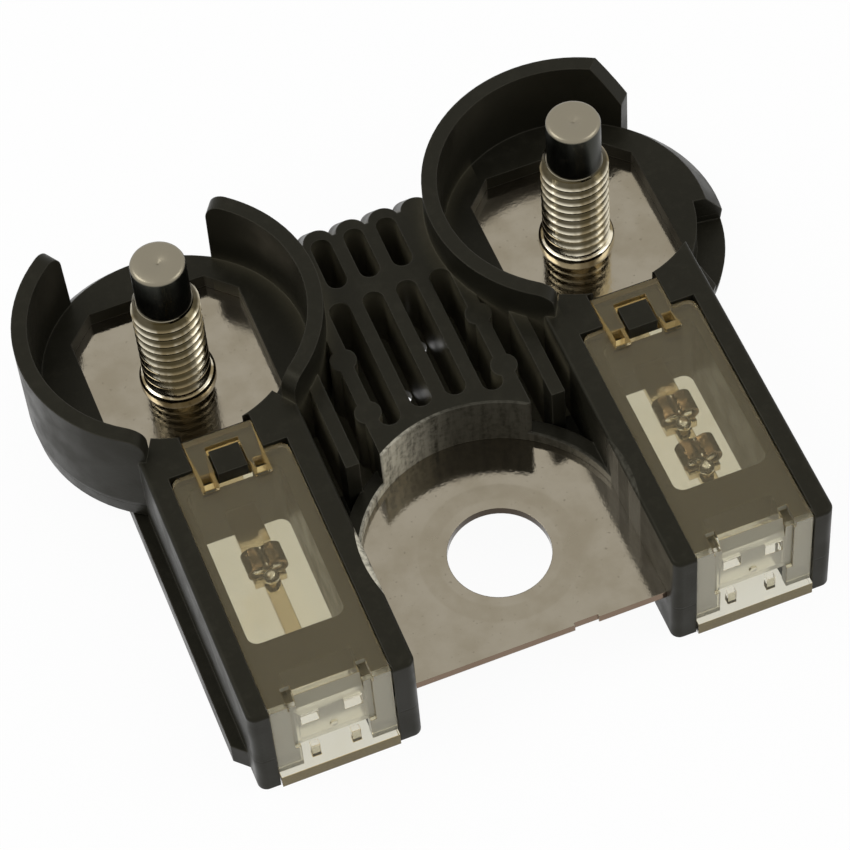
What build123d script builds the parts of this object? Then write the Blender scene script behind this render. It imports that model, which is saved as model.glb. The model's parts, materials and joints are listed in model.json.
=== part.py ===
from build123d import *
from math import cos, radians, sin, sqrt
import os

os.makedirs("parts", exist_ok=True)

# Two-way stud fuse block: one flat bus bar is moulded into a housing with two arms.
# The origin is the centre of the bus hole, on the bar's top face. +Y runs towards the
# studs, +X from the one-pellet arm to the two-pellet arm. All sizes are in millimetres.
# A "reach" is a distance forward, or backward, from the line through both studs.

# Bus bar
bus_thickness = 0.8
bus_hole_diameter = 8.7
bus_setback = 1.5
bus_anchor = 1.2
bus_nick_width = 2.1
bus_nick_depth = 0.25
bus_nick_offset = 4.05
crossbar_width = 2.2
crossbar_setback = 0.45
pad_anchor = 0.6

# Studs
stud_spacing = 37.0
stud_reach = 27.75
stud_height = 15.8
thread_diameter = 5.9
thread_chamfer = 0.5
dog_diameter = 4.7
dog_length = 5.0
dog_chamfer = 0.3
stud_collar_diameter = 6.65
stud_collar_height = 0.7
stud_collar_chamfer = 0.25
stud_head_diameter = 9.6
stud_head_height = 2.0
stud_head_chamfer = 0.3
stud_bore_clearance = 0.02
head_pocket_clearance = 0.3

# Fuse links, their claws and their tin pellets
link_width = 1.4
link_tongue_width = 2.6
link_tongue_reach = 19.2
link_offset = 0.2
claw_pad_width = 2.8
claw_pad_length = 2.8
claw_lobe_radius = 0.95
claw_lobe_offset = 0.8
claw_thickness = 0.3
claw_length = 2.0
pellet_height = 0.75
pellet_overhang = 0.25
pellet_clearance = 0.02
bead_radius = 0.7
left_pellet_reach = 21.5
right_pellet_reach = 23.4
pellet_pitch = 4.8

# Arms
arm_outer = 6.75
arm_inner = 7.4
arm_corner_radius = 0.8
arm_edge_radius = 0.35
arm_top = 5.8
base_depth = 5.3
rail_width = 1.1
rail_height = 2.4
rail_setback = 2.5

# Fuse chamber and the clear covers over and under it
chamber_half_width = 4.1
chamber_back_reach = 15.2
chamber_front_margin = 5.3
chamber_corner_radius = 0.9
bulkhead_thickness = 3.2
nose_depth = 3.9
nose_half_width = 3.05
cover_thickness = 1.0
cover_drop = 0.3
cover_outer = 4.95
cover_inner = 5.35
cover_corner_radius = 0.9
cover_back_reach = 13.9
cover_wall = 0.9
cover_recess = 0.25
cover_clearance = 0.05
cover_slot_width = 0.8
cover_slot_offset = 3.2
cover_slot_length = 1.9
cover_slot_bottom = 4.9
tongue_recess = 0.3
tongue_top_recess = 0.9
tongue_bend = 3.5
tongue_zone_half_width = 3.45
tongue_hole_half_width = 2.95
tongue_hole_top = -1.0
latch_hole_width = 1.5
latch_hole_height = 1.3
latch_hole_spacing = 3.7
latch_hole_level = 2.3
gate_radius = 0.35
gate_height = 0.15
gate_level = 0.4
base_cover_thickness = 1.5
base_cover_proud = 0.3
base_cover_back_reach = 14.4
post_width = 0.8
post_height = 1.6
post_spacing = 3.5

# Latch between each top cover and the housing
tab_half_width = 3.05
tab_back_reach = 11.0
tab_lift = 0.35
tab_leg_width = 1.5
tab_leg_reach = 16.35
tab_leg_hole_width = 0.8
tab_leg_hole_length = 1.0
tab_leg_hole_reach = 15.2
latch_shift = 0.2
latch_window_half_width = 1.45
latch_window_back_reach = 12.2
latch_window_front_reach = 15.75
nub_clearance = 0.15
nub_end_clearance = 0.55
nub_rise = 0.1

# Stud cups
cup_radius = 13.15
cup_draft = 0.25
cup_foot_radius = cup_radius - cup_draft
cup_wall_foot = 1.6
cup_wall_top = 1.35
cup_top = 8.55
cup_end_radius = 1.6
skirt_depth = 2.6
skirt_wall = 1.4
cup_floor_top = 1.5
cup_floor_thickness = 1.7
rim_slope_width = 1.5
rim_slope_drop = 2.0
nut_clearance_radius = 10.7
left_cup_walls = ((123.0, 242.0), (-56.5, 55.5))
right_cup_walls = ((47.0, 240.0),)
ramp_drop = 4.0
ramp_run = 2.8
notch_start_angle = -46.0
notch_end_angle = -9.0
notch_floor = -1.7
notch_radius = 10.5
window_half_width = 7.65
window_half_length = 7.95
window_corner = 2.4
foot_margin = 0.9

# Ribbed web and the collar behind the bus hole
web_top = 5.2
web_back_reach = 4.8
web_side_front_reach = 18.3
web_floor_thickness = 1.0
collar_radius = 11.4
collar_wall = 1.4
lip_top = 1.0
rib_pitch = 3.05
rib_width = 1.2
rib_shift = 0.15
slot_back_reach = 2.2
pocket_front_reach = 0.75
pocket_back_reach = 4.8
pocket_width = 1.8
pocket_pitch = 3.0
pocket_shift = -0.5
scallop_radius = 1.35
scallop_top_reach = 5.85
scallop_foot_reach = 8.55
scallop_foot_top = 1.6
rib_boss_radius = 1.15
rib_boss_reaches = (8.0, 13.8)
vent_diameter = 1.6
rear_vent_reach = 4.6
front_vent_reach = 8.9

# Values worked out from the sizes above
SIDES = (-1, 1)
stud_x = stud_spacing / 2
stud_y = stud_reach
far = 4 * stud_spacing
base_z = -base_depth
skirt_z = -skirt_depth
rear_pellet_reach = right_pellet_reach - pellet_pitch / 2
front_pellet_reach = right_pellet_reach + pellet_pitch / 2
chamber_back_y = stud_y - chamber_back_reach
chamber_front_y = stud_y - front_pellet_reach - chamber_front_margin
nose_back_y = chamber_front_y - bulkhead_thickness
arm_front_y = nose_back_y - nose_depth
arm_inner_x = stud_x - arm_inner
bus_front_y = arm_front_y + bus_setback
rail_front_y = arm_front_y + rail_setback
crossbar_y = chamber_front_y - crossbar_setback - crossbar_width / 2
cover_top_z = arm_top - cover_drop
cover_under_z = cover_top_z - cover_thickness
cover_back_y = stud_y - cover_back_reach
cover_front_y = arm_front_y + cover_recess
cover_wall_back_y = cover_front_y + cover_wall
base_cover_front_y = arm_front_y - base_cover_proud
base_cover_top_z = base_z + base_cover_thickness
base_cover_back_y = stud_y - base_cover_back_reach
tab_top_z = cover_top_z + tab_lift
tongue_half_width = cover_slot_offset - cover_slot_width / 2
foot_half_width = window_half_width + foot_margin
foot_half_length = window_half_length + foot_margin
collar_outer = collar_radius + collar_wall
web_floor_z = skirt_z + web_floor_thickness
web_back_y = stud_y + web_back_reach
web_side_front_y = stud_y - web_side_front_reach
slot_back_y = stud_y - slot_back_reach
rib_xs = [rib_shift + step * rib_pitch for step in range(-3, 4)]
slot_width = rib_pitch - rib_width
slot_xs = [x + rib_pitch / 2 for x in rib_xs[:-1]]
pocket_xs = [pocket_shift + step * pocket_pitch for step in (-1, 0, 1)]
scallop_xs = pocket_xs + [pocket_xs[-1] + pocket_pitch]
ramp_end_angle = right_cup_walls[0][0]
cup_walls = [(-1, *span) for span in left_cup_walls] + [(1, *span) for span in right_cup_walls]
left_pellet = (-1, left_pellet_reach)
rear_pellet = (1, rear_pellet_reach)
front_pellet = (1, front_pellet_reach)


def across(side, outer, inner):
    """Return the low and high X of a band around one stud, from its outer and inner half."""
    ends = (side * (stud_x + outer), side * (stud_x - inner))
    return min(ends), max(ends)


def around(x, width):
    """Return the low and high X of a band of a width around one X."""
    return x - width / 2, x + width / 2


def band(x_ends, y_low, y_high, radius=0.0, mode=Mode.ADD):
    """Draw a rectangle between two X ends and two Y ends in the current sketch."""
    x_low, x_high = x_ends
    with Locations(((x_low + x_high) / 2, (y_low + y_high) / 2)):
        if radius > 0:
            RectangleRounded(x_high - x_low, y_high - y_low, radius, mode=mode)
        else:
            Rectangle(x_high - x_low, y_high - y_low, mode=mode)


def cover_plate(side, y_front, y_back):
    """Draw one clear plate's outline, with round corners at the back, in the current sketch."""
    outline = across(side, cover_outer, cover_inner)
    band(outline, y_front, y_back, cover_corner_radius)
    band(outline, y_front, y_front + 2 * cover_corner_radius)


def long_hole(x, y_low, y_high, width):
    """Draw a slot along Y with round ends in the current sketch."""
    with Locations((x, (y_low + y_high) / 2)):
        SlotOverall(y_high - y_low, width, rotation=90)


def eight_sided(side, half_width, half_length, corner, mode=Mode.ADD):
    """Draw a rectangle with cut corners around one stud in the current sketch."""
    left, right = side * stud_x - half_width, side * stud_x + half_width
    front, back = stud_y - half_length, stud_y + half_length
    Polygon(
        (left + corner, front), (right - corner, front), (right, front + corner),
        (right, back - corner), (right - corner, back), (left + corner, back),
        (left, back - corner), (left, front + corner), align=None, mode=mode,
    )


def radial_plane(side, angle):
    """Return a plane through one stud's axis: its X points outwards at the angle, its Y up."""
    turn = radians(angle)
    return Plane(
        origin=(side * stud_x, stud_y, 0),
        x_dir=(cos(turn), sin(turn), 0),
        z_dir=(sin(turn), -cos(turn), 0),
    )


def facing_plane(side, angle):
    """Return a plane that faces outwards from one stud's axis: its X runs round, its Y up."""
    turn = radians(angle)
    return Plane(
        origin=(side * stud_x, stud_y, 0),
        x_dir=(-sin(turn), cos(turn), 0),
        z_dir=(cos(turn), sin(turn), 0),
    )


def turned(side, start, end, points, mode=Mode.ADD):
    """Revolve a closed (radius, height) outline around one stud, between two angles."""
    with BuildSketch(radial_plane(side, start)) as outline:
        Polygon(*points, align=None)
    axis = Axis((side * stud_x, stud_y, 0), (0, 0, 1))
    revolve(outline.sketch, axis=axis, revolution_arc=end - start, mode=mode)


def latch_x(side):
    """Return the X of the middle of one cover's latches."""
    return side * (stud_x - latch_shift)


def link_x(side):
    """Return the X of one fuse link's centre line."""
    return side * stud_x + link_offset


def pellet_plane(side, reach):
    """Return the upright plane across a link at one pellet's middle, centred on the pellet."""
    origin = (link_x(side), stud_y - reach, pellet_height)
    return Plane(origin=origin, x_dir=(1, 0, 0), z_dir=(0, -1, 0))


def side_plane(x):
    """Return the upright plane along the arms at one X: its X is the part's Y, its Y is up."""
    return Plane(origin=(x, 0, 0), x_dir=(0, 1, 0), z_dir=(1, 0, 0))


# Bus bar: hole plate, two crossbars, two links with claws and two stud pads, one stamping
with BuildPart() as bus_bar:
    with BuildSketch(Plane.XY.offset(-bus_thickness)):
        Circle(collar_radius + bus_anchor)
        band((-far, far), -far, 0, mode=Mode.SUBTRACT)
        band(around(0, 2 * (arm_inner_x + bus_anchor)), bus_front_y, 0)
        band(around(bus_nick_offset, bus_nick_width), bus_front_y - far,
             bus_front_y + bus_nick_depth, mode=Mode.SUBTRACT)
        Circle(bus_hole_diameter / 2, mode=Mode.SUBTRACT)
        for side in SIDES:
            tongue_y = stud_y - link_tongue_reach
            band(across(side, link_width, arm_inner - bus_anchor),
                 crossbar_y - crossbar_width / 2, crossbar_y + crossbar_width / 2)
            band(around(link_x(side), link_width), crossbar_y, stud_y - window_half_length)
            band(around(link_x(side), link_tongue_width), tongue_y, stud_y - window_half_length)
            eight_sided(side, window_half_width + pad_anchor, window_half_length + pad_anchor,
                        window_corner)
        for side, reach in (left_pellet, rear_pellet, front_pellet):
            band(around(link_x(side), claw_pad_width), stud_y - reach - claw_pad_length / 2,
                 stud_y - reach + claw_pad_length / 2)
        with Locations((-stud_x, stud_y), (stud_x, stud_y)):
            Circle(thread_diameter / 2 + stud_bore_clearance, mode=Mode.SUBTRACT)
    extrude(amount=bus_thickness)
    for side, reach in (left_pellet, rear_pellet, front_pellet):
        with BuildSketch(pellet_plane(side, reach)):
            with Locations((-claw_lobe_offset, 0), (claw_lobe_offset, 0)):
                Circle(claw_lobe_radius)
            with Locations((-claw_lobe_offset, 0), (claw_lobe_offset, 0)):
                Circle(claw_lobe_radius - claw_thickness, mode=Mode.SUBTRACT)
        extrude(amount=claw_length / 2, both=True)


# Tin pellets: one slug through both lobes of its claw, run together at the ends
def tin_pellet(side, reach):
    """Make the tin slug that one claw holds, with the bead in front of it."""
    lobe = claw_lobe_radius - claw_thickness - pellet_clearance
    claw_end = claw_length / 2 + pellet_clearance
    with BuildPart() as tin:
        with BuildSketch(pellet_plane(side, reach)):
            with Locations((-claw_lobe_offset, 0), (claw_lobe_offset, 0)):
                Circle(lobe)
        extrude(amount=claw_end, both=True)
        for end in SIDES:
            with BuildSketch(pellet_plane(side, reach + end * (claw_end + pellet_overhang / 2))):
                SlotCenterToCenter(2 * claw_lobe_offset, 2 * lobe)
            extrude(amount=pellet_overhang / 2, both=True)
        bead_y = stud_y - reach - claw_end - bead_radius
        with Locations((link_x(side), bead_y, pellet_height)):
            Sphere(bead_radius)
    return tin.part


# Studs: head under the pad, press collar on the pad, thread and plain pilot end
def stud(side):
    """Make one terminal stud, which is pressed up through its pad."""
    head, thread = stud_head_diameter / 2, thread_diameter / 2
    collar, dog = stud_collar_diameter / 2, dog_diameter / 2
    head_bottom = -bus_thickness - stud_head_height
    shoulder = stud_height - dog_length
    with BuildPart() as turned_stud:
        turned(side, 0, 360, (
            (0, head_bottom), (head - stud_head_chamfer, head_bottom),
            (head, head_bottom + stud_head_chamfer), (head, -bus_thickness),
            (thread, -bus_thickness), (thread, 0), (collar, 0),
            (collar, stud_collar_height - stud_collar_chamfer),
            (collar - stud_collar_chamfer, stud_collar_height),
            (thread, stud_collar_height), (thread, shoulder - thread_chamfer),
            (thread - thread_chamfer, shoulder), (dog, shoulder),
            (dog, stud_height - dog_chamfer), (dog - dog_chamfer, stud_height), (0, stud_height),
        ))
    return turned_stud.part


# Housing: arms, rails, feet, cups, web and collar as one moulding
with BuildPart() as housing:
    with BuildSketch(Plane.XY.offset(base_z)):
        for side in SIDES:
            band(across(side, arm_outer, arm_inner), arm_front_y, stud_y)
    extrude(amount=arm_top - base_z)
    fillet(housing.edges().filter_by(Axis.Z).group_by(Axis.Y)[0], radius=arm_corner_radius)
    fillet(housing.faces().group_by(Axis.Z)[-1].edges(), radius=arm_edge_radius)

    # Outer rails, with their front ends cut at 45 degrees
    with BuildSketch(Plane.XY.offset(base_z)):
        for side in SIDES:
            wall_x = side * (stud_x + arm_outer)
            rail_x = wall_x + side * rail_width
            with BuildLine():
                Polyline((wall_x, rail_front_y), (rail_x, rail_front_y + rail_width),
                         (rail_x, stud_y), (wall_x, stud_y), close=True)
            make_face()
    extrude(amount=rail_height)

    # Feet under the studs
    with BuildSketch(Plane.XY.offset(base_z)):
        for side in SIDES:
            eight_sided(side, foot_half_width, foot_half_length, window_corner)
    extrude(amount=-bus_thickness - base_z)

    # Cup floors with their sloped low rims
    for side in SIDES:
        turned(side, 0, 360, (
            (0, skirt_z), (cup_foot_radius, skirt_z),
            (cup_radius, cup_floor_top - rim_slope_drop),
            (cup_radius - rim_slope_width, cup_floor_top), (0, cup_floor_top),
        ))

    # Tall cup walls
    for side, start, end in cup_walls:
        turned(side, start, end, (
            (cup_radius - cup_wall_foot, skirt_z), (cup_foot_radius, skirt_z),
            (cup_radius, cup_floor_top - rim_slope_drop), (cup_radius, cup_top),
            (cup_radius - cup_wall_top, cup_top), (cup_radius - cup_wall_foot, cup_floor_top),
        ))
    wall_ends = housing.edges().filter_by(GeomType.LINE).group_by(Axis.Z)[-1]
    ramp_end = wall_ends.sort_by(Axis.X)[-1]
    fillet(ShapeList([edge for edge in wall_ends if edge != ramp_end]), radius=cup_end_radius)

    # Sloped end of the right cup's wall
    with BuildSketch(facing_plane(1, ramp_end_angle)):
        Polygon((ramp_run, cup_top), (0, cup_top - ramp_drop), (0, cup_top), align=None)
    extrude(amount=2 * cup_radius, mode=Mode.SUBTRACT)

    # Web block, open in a half circle round the bus hole, and its thin floor in front
    with BuildSketch(Plane.XY.offset(skirt_z)):
        band(around(0, 2 * arm_inner_x), web_side_front_y, web_back_y)
        Circle(collar_radius, mode=Mode.SUBTRACT)
    extrude(amount=web_top - skirt_z)
    with BuildSketch(Plane.XY.offset(skirt_z)):
        band(around(0, 2 * arm_inner_x), 0, web_side_front_y)
        Circle(collar_radius, mode=Mode.SUBTRACT)
    extrude(amount=web_floor_thickness)

    # Scalloped back edge: each rib ends in a round nose that leans outwards
    for x in scallop_xs:
        with BuildSketch(Plane.XY.offset(skirt_z)):
            long_hole(x, stud_y, stud_y + scallop_foot_reach, 2 * scallop_radius)
        extrude(amount=scallop_foot_top - skirt_z)
        with BuildSketch(Plane.XY.offset(scallop_foot_top)):
            long_hole(x, stud_y, stud_y + scallop_foot_reach, 2 * scallop_radius)
        with BuildSketch(Plane.XY.offset(web_top)):
            long_hole(x, stud_y, stud_y + scallop_top_reach, 2 * scallop_radius)
        loft()

    # Slots between the ribs: the middle four end at the collar, the others run out forwards
    with BuildSketch(Plane.XY.offset(web_floor_z)):
        for x in slot_xs:
            if abs(x) < collar_radius / 2:
                long_hole(x, sqrt(collar_outer**2 - x**2), slot_back_y, slot_width)
            else:
                band(around(x, slot_width), web_side_front_y - slot_width, slot_back_y)
        band((rib_xs[-1] + rib_width / 2, arm_inner_x), web_side_front_y - slot_width, slot_back_y)
        band((-arm_inner_x, rib_xs[0] - rib_width / 2), web_side_front_y - slot_width, slot_back_y)
        with Locations((-stud_x, stud_y), (stud_x, stud_y)):
            Circle(cup_radius, mode=Mode.SUBTRACT)
    extrude(amount=web_top - web_floor_z, mode=Mode.SUBTRACT)

    # Blind pockets behind the crossing rib
    with BuildSketch(Plane.XY.offset(web_floor_z)):
        for x in pocket_xs:
            long_hole(x, stud_y - pocket_front_reach, stud_y + pocket_back_reach, pocket_width)
    extrude(amount=web_top - web_floor_z, mode=Mode.SUBTRACT)

    # Low lip that carries the collar's circle on to the arms
    with BuildSketch(Plane.XY.offset(skirt_z)):
        Circle(collar_outer)
        Circle(collar_radius, mode=Mode.SUBTRACT)
        band((-far, far), -far, 0, mode=Mode.SUBTRACT)
        band((arm_inner_x, far), -far, far, mode=Mode.SUBTRACT)
        band((-far, -arm_inner_x), -far, far, mode=Mode.SUBTRACT)
    extrude(amount=lip_top - skirt_z)

    # Ejector bosses on the outer web ribs
    with BuildSketch(Plane.XY.offset(web_floor_z)):
        for x in (rib_xs[1], rib_xs[-2]):
            with Locations(*[(x, stud_y - reach) for reach in rib_boss_reaches]):
                Circle(rib_boss_radius)
    extrude(amount=web_top - web_floor_z)

    # Vent holes through the web floor
    with BuildSketch(Plane.XY.offset(skirt_z)):
        rear_vent = (slot_xs[3], stud_y - rear_vent_reach)
        front_vent = (slot_xs[2], stud_y - front_vent_reach)
        with Locations(rear_vent, front_vent):
            Circle(vent_diameter / 2)
    extrude(amount=web_floor_thickness, mode=Mode.SUBTRACT)

    # Cup insides: room for a nut and its socket, then up to the tall walls where they stand
    for side in SIDES:
        turned(side, 0, 360, (
            (0, cup_floor_top), (nut_clearance_radius, cup_floor_top),
            (nut_clearance_radius, cup_top), (0, cup_top),
        ), mode=Mode.SUBTRACT)
    for side, start, end in cup_walls:
        turned(side, start, end, (
            (nut_clearance_radius - cup_wall_foot, cup_floor_top),
            (cup_radius - cup_wall_foot, cup_floor_top), (cup_radius - cup_wall_top, cup_top),
            (nut_clearance_radius - cup_wall_foot, cup_top),
        ), mode=Mode.SUBTRACT)

    # Hollow under each cup floor, outside the foot that holds the stud's head
    with BuildSketch(Plane.XY.offset(skirt_z)):
        with Locations((-stud_x, stud_y), (stud_x, stud_y)):
            Circle(cup_foot_radius - skirt_wall)
        for side in SIDES:
            band(across(side, arm_outer, arm_inner), -far, stud_y, mode=Mode.SUBTRACT)
            eight_sided(side, foot_half_width, foot_half_length, window_corner, Mode.SUBTRACT)
        band((stud_x + arm_outer, far), -far, stud_y, mode=Mode.SUBTRACT)
    extrude(amount=cup_floor_top - cup_floor_thickness - skirt_z, mode=Mode.SUBTRACT)

    # Eight-sided windows down to the stud pads
    with BuildSketch(Plane.XY):
        for side in SIDES:
            eight_sided(side, window_half_width, window_half_length, window_corner)
    extrude(amount=cup_floor_top, mode=Mode.SUBTRACT)

    # Notch in the low rim beside the two-pellet arm
    turned(1, notch_start_angle, notch_end_angle, (
        (notch_radius, notch_floor), (2 * cup_radius, notch_floor),
        (2 * cup_radius, cup_top), (notch_radius, cup_top),
    ), mode=Mode.SUBTRACT)

    # Fuse chambers and the open noses in front of the bulkheads
    with BuildSketch(Plane.XY.offset(base_z)):
        for side in SIDES:
            chamber = across(side, chamber_half_width, chamber_half_width)
            band(chamber, chamber_front_y, chamber_back_y, chamber_corner_radius)
            band(around(latch_x(side), 2 * nose_half_width), base_cover_front_y, nose_back_y)
    extrude(amount=arm_top - base_z, mode=Mode.SUBTRACT)

    # Seats for the top covers, their front walls and the base windows
    seat_outer, seat_inner = cover_outer + cover_clearance, cover_inner + cover_clearance
    with BuildSketch(Plane.XY.offset(cover_under_z)):
        for side in SIDES:
            band(across(side, seat_outer, seat_inner), base_cover_front_y,
                 cover_back_y + cover_clearance)
            band(across(side, tab_half_width - latch_shift + cover_clearance,
                        tab_half_width + latch_shift + cover_clearance),
                 cover_back_y, stud_y - nut_clearance_radius + tab_lift)
    extrude(amount=arm_top - cover_under_z, mode=Mode.SUBTRACT)
    with BuildSketch(Plane.XY.offset(base_z)):
        for side in SIDES:
            band(across(side, seat_outer, seat_inner), base_cover_front_y,
                 cover_wall_back_y + cover_clearance)
    extrude(amount=arm_top - base_z, mode=Mode.SUBTRACT)
    with BuildSketch(Plane.XY.offset(base_z)):
        for side in SIDES:
            band(across(side, seat_outer, seat_inner), base_cover_front_y,
                 base_cover_back_y + cover_clearance)
    extrude(amount=base_cover_thickness, mode=Mode.SUBTRACT)

    # Latch nubs that stand up through the covers
    with BuildSketch(Plane.XY.offset(cover_under_z)):
        for side in SIDES:
            half = latch_window_half_width - nub_clearance
            band(across(side, half - latch_shift, half + latch_shift),
                 stud_y - latch_window_front_reach + nub_end_clearance,
                 stud_y - latch_window_back_reach - nub_end_clearance)
    extrude(amount=tab_top_z + nub_rise - cover_under_z)

    # Pockets for the stud heads, open below, and the space that the bus bar fills
    with BuildSketch(Plane.XY.offset(base_z)):
        with Locations((-stud_x, stud_y), (stud_x, stud_y)):
            Circle(stud_head_diameter / 2 + head_pocket_clearance)
    extrude(amount=-base_z, mode=Mode.SUBTRACT)
    add(bus_bar.part, mode=Mode.SUBTRACT)


# Top covers: clear plate with a latch tab, and a front wall with the lower latch
def window_cover(side):
    """Make the clear cover that snaps over one arm."""
    middle = latch_x(side)
    tongue_back_y = cover_wall_back_y + tongue_recess
    tongue_top_y = cover_front_y + tongue_top_recess
    outside_y = cover_front_y - cover_wall
    with BuildPart() as cover:
        with BuildSketch(Plane.XY.offset(cover_under_z)):
            cover_plate(side, cover_front_y, cover_back_y)
        extrude(amount=cover_thickness)
        with BuildSketch(Plane.XY.offset(base_cover_top_z)):
            band(across(side, cover_outer, cover_inner), cover_front_y, cover_wall_back_y)
        extrude(amount=cover_under_z - base_cover_top_z)

        # Tongue between the two slots: its face slopes back under the plate
        with BuildSketch(side_plane(middle)):
            Polygon((cover_front_y, tongue_hole_top), (tongue_back_y, tongue_hole_top),
                    (tongue_back_y, tongue_bend), (tongue_top_y + cover_wall, cover_under_z),
                    (cover_front_y, cover_under_z), align=None)
        extrude(amount=tongue_half_width, both=True)
        with BuildSketch(side_plane(middle)):
            band((outside_y, cover_front_y + tongue_recess), tongue_hole_top, tab_top_z)
        extrude(amount=tongue_zone_half_width, both=True, mode=Mode.SUBTRACT)
        with BuildSketch(side_plane(middle)):
            Polygon((outside_y, tongue_bend), (cover_front_y + tongue_recess, tongue_bend),
                    (tongue_top_y, cover_top_z), (outside_y, cover_top_z), align=None)
        extrude(amount=tongue_half_width, both=True, mode=Mode.SUBTRACT)
        with BuildSketch(side_plane(middle)):
            band((outside_y, tongue_back_y), base_cover_top_z, tongue_hole_top)
        extrude(amount=tongue_hole_half_width, both=True, mode=Mode.SUBTRACT)
        with BuildSketch(Plane.XY.offset(cover_slot_bottom)):
            for step in SIDES:
                band(around(middle + step * cover_slot_offset, cover_slot_width),
                     outside_y, cover_front_y + cover_slot_length)
        extrude(amount=cover_top_z - cover_slot_bottom, mode=Mode.SUBTRACT)
        with BuildSketch(Plane.XY.offset(latch_hole_level - latch_hole_height / 2)):
            for step in SIDES:
                band(around(middle + step * latch_hole_spacing / 2, latch_hole_width),
                     outside_y, tongue_back_y + cover_wall)
        extrude(amount=latch_hole_height, mode=Mode.SUBTRACT)

        # Gate mark on the tongue
        gate_origin = (middle, cover_front_y + tongue_recess, gate_level)
        with BuildSketch(Plane(origin=gate_origin, x_dir=(1, 0, 0), z_dir=(0, -1, 0))):
            Circle(gate_radius)
        extrude(amount=gate_height)

        # Latch tab with its two legs round the latch window
        with BuildSketch(Plane.XY.offset(cover_under_z)):
            band(around(middle, 2 * tab_half_width), cover_back_y - cover_corner_radius,
                 stud_y - tab_back_reach)
        extrude(amount=tab_top_z - cover_under_z)
        with BuildSketch(Plane.XY.offset(cover_top_z)):
            for step in SIDES:
                leg_x = middle + step * (tab_half_width - tab_leg_width / 2)
                band(around(leg_x, tab_leg_width), stud_y - tab_leg_reach, cover_back_y)
        extrude(amount=tab_lift)
        with BuildSketch(Plane.XY.offset(cover_under_z)):
            band(around(middle, 2 * latch_window_half_width),
                 stud_y - latch_window_front_reach, stud_y - latch_window_back_reach)
            for step in SIDES:
                hole_x = middle + step * (tab_half_width - tab_leg_width / 2)
                hole_y = stud_y - tab_leg_hole_reach
                band(around(hole_x, tab_leg_hole_width), hole_y - tab_leg_hole_length / 2,
                     hole_y + tab_leg_hole_length / 2)
        extrude(amount=tab_top_z - cover_under_z, mode=Mode.SUBTRACT)
    return cover.part


# Base windows: clear plates under the arms, with two posts in the top cover's front wall
def base_window(side):
    """Make the clear plate that closes one arm from below."""
    with BuildPart() as window:
        with BuildSketch(Plane.XY.offset(base_z)):
            cover_plate(side, base_cover_front_y, base_cover_back_y)
        extrude(amount=base_cover_thickness)
        with BuildSketch(Plane.XY.offset(base_cover_top_z)):
            for step in SIDES:
                band(around(latch_x(side) + step * post_spacing / 2, post_width),
                     cover_front_y + tongue_recess, cover_wall_back_y)
        extrude(amount=post_height)
    return window.part


pieces = {
    "housing": housing.part,
    "bus_bar": bus_bar.part,
    "stud_left": stud(-1),
    "stud_right": stud(1),
    "tin_left": tin_pellet(*left_pellet),
    "tin_right_rear": tin_pellet(*rear_pellet),
    "tin_right_front": tin_pellet(*front_pellet),
    "window_cover_left": window_cover(-1),
    "window_cover_right": window_cover(1),
    "base_window_left": base_window(-1),
    "base_window_right": base_window(1),
}
for name, piece in pieces.items():
    piece.label = name
    export_step(piece, f"parts/{name}.step")
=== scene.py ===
"""Looks of a two-way stud fuse block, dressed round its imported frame.

The solids of the frame keep their shape and place. This script gives each of them its finish,
cuts the threads of the studs, casts the tin pellets in their claws, eases the edges of the clear
covers, and sets up the studio and the camera at the photograph's angle.
"""

import json
import logging
import math
from dataclasses import dataclass
from enum import Enum
from typing import NamedTuple

import bmesh
import bpy
from bmesh.types import BMesh, BMFace
from bpy.types import Material, Node, NodeSocket, NodeTree, Object, World
from mathutils import Matrix, Quaternion, Vector, noise


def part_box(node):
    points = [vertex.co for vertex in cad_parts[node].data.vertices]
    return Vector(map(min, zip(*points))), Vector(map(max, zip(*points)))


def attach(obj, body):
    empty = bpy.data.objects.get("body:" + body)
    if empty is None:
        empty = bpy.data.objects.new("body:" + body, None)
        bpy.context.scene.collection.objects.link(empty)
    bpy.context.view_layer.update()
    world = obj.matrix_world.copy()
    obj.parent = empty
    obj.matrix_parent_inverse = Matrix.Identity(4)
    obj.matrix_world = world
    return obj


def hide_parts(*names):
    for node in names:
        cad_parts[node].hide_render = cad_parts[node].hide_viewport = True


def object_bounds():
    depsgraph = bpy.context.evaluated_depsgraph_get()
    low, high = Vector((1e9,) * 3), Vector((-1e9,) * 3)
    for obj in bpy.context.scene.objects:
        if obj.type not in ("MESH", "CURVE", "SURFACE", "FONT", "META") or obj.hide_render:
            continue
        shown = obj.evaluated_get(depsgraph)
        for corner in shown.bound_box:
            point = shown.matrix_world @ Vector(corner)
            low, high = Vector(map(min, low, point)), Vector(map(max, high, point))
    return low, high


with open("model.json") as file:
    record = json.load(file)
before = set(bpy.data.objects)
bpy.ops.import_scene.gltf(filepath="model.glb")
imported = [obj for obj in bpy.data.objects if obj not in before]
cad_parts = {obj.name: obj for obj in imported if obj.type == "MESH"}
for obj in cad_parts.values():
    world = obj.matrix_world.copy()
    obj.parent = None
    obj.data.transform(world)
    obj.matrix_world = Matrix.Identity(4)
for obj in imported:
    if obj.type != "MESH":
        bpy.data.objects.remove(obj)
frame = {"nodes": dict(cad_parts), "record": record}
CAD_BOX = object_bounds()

Colour = tuple[float, float, float, float]

MM = 0.001
BODY = "root"
SIDES = ("left", "right")
WHITE: Colour = (1.0, 1.0, 1.0, 1.0)

logging.basicConfig(level=logging.INFO, format="%(levelname)s %(message)s")
LOG = logging.getLogger("fuse_block")


class Slot(Enum):
    """The record's material slots."""

    HOUSING = "housing_plastic"
    BAR = "plated_bar"
    STUD = "plated_stud"
    TIN = "tin"
    COVER = "clear_cover"


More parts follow.
